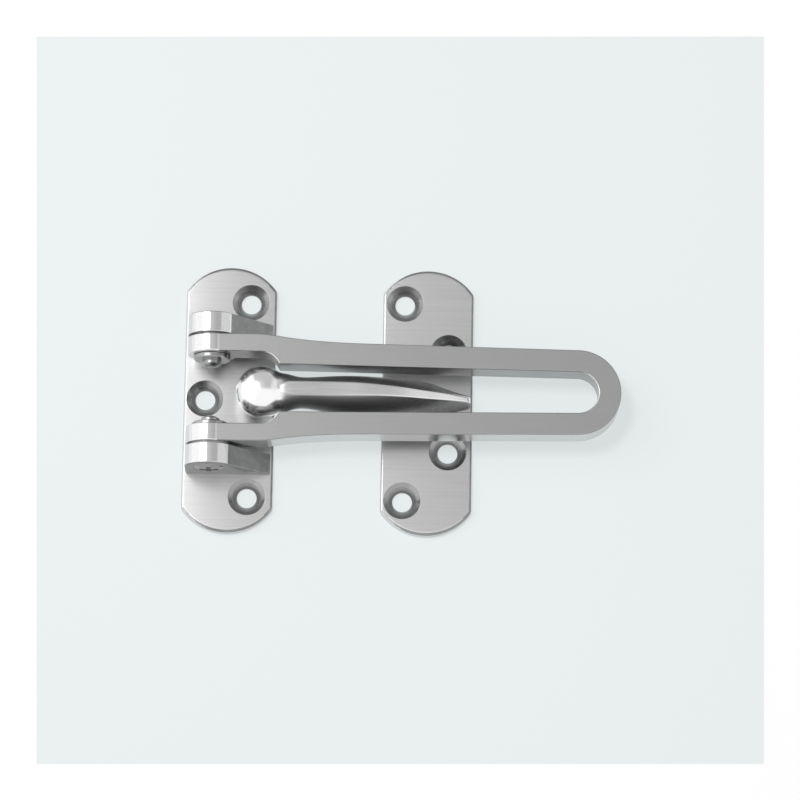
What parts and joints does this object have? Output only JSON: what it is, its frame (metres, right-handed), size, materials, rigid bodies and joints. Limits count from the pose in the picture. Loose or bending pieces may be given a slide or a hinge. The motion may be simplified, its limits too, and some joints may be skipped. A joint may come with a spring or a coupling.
{
  "type": "door guard",
  "caption": "Swing-bar door guard: a slotted bar hinged between lugs on one plate closes over a ball arm on a second plate.",
  "frame": {"origin": "on the mounting plane under the middle of the closed guard's bounding box", "axes": "+X along the closed bar from the hinge to its free end, +Y along the hinge axis, +Z out of the mounting plane"},
  "size_m": [0.115, 0.072, 0.0179],
  "materials": {
    "satin_steel": "satin nickel, fine brushing on the flat faces",
    "pin_steel": "bright plated",
    "washer_steel": "plain bright"
  },
  "bodies": {
    "fixed_units": {"base_plate": "satin_steel", "upper_hinge_pin": "pin_steel", "lower_hinge_pin": "pin_steel", "upper_retaining_ring": "pin_steel", "lower_retaining_ring": "pin_steel", "upper_spacer_washer": "washer_steel", "lower_spacer_washer": "washer_steel", "catch_plate": "satin_steel"},
    "bar": {"swing_bar": "satin_steel"}
  },
  "joints": [
    {"name": "bar_swing", "type": "hinge", "parent": "fixed_units", "child": "bar", "pos_m": [-0.05, 0, 0.0105], "axis": [0, -1, 0], "range_deg": [0, 180]}
  ]
}
